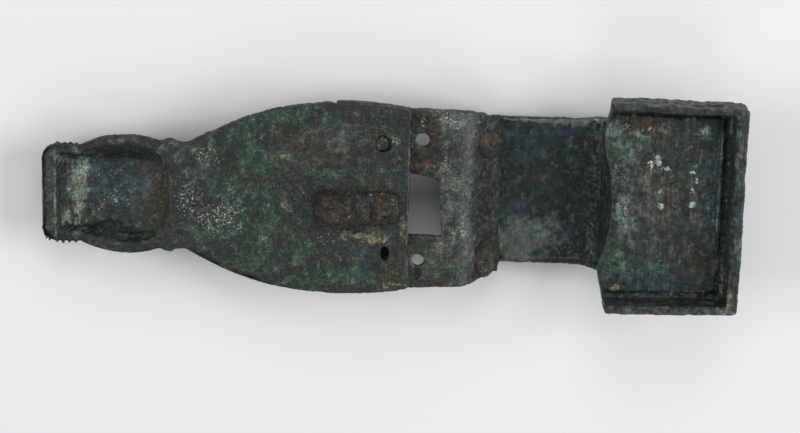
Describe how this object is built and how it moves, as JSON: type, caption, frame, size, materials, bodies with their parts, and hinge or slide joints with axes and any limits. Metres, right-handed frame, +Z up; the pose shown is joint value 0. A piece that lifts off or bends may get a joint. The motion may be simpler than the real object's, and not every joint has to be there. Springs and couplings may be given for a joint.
{
  "type": "mended bronze fibula brooch",
  "caption": "Cast bow brooch lying face down: walled head-plate, deep bow, leaf-shaped foot and hollow animal-head end, mended with a riveted bent plate.",
  "frame": {"origin": "middle of the bounding box, on the surface that the brooch lies on", "axes": "+X from the animal-head end to the head-plate, +Y across the brooch, +Z up out of its back"},
  "size_m": [0.1488, 0.0456, 0.0217],
  "materials": {
    "bronze": "cast bronze with a dark green and blue-grey patina, matt, worn grey at the edges",
    "sheet_bronze": "hammered bronze sheet with a grey-green patina, paler and slightly shiny where it is rubbed",
    "rusted_iron": "iron turned to brown and orange rust, rough and crusted"
  },
  "bodies": {
    "root": {"head_and_bow": "bronze", "foot": "bronze", "joining_plate": "sheet_bronze", "bow_rivet_upper": "rusted_iron", "bow_rivet_lower": "rusted_iron", "foot_rivet": "rusted_iron", "catch_stump": "rusted_iron"}
  },
  "joints": []
}
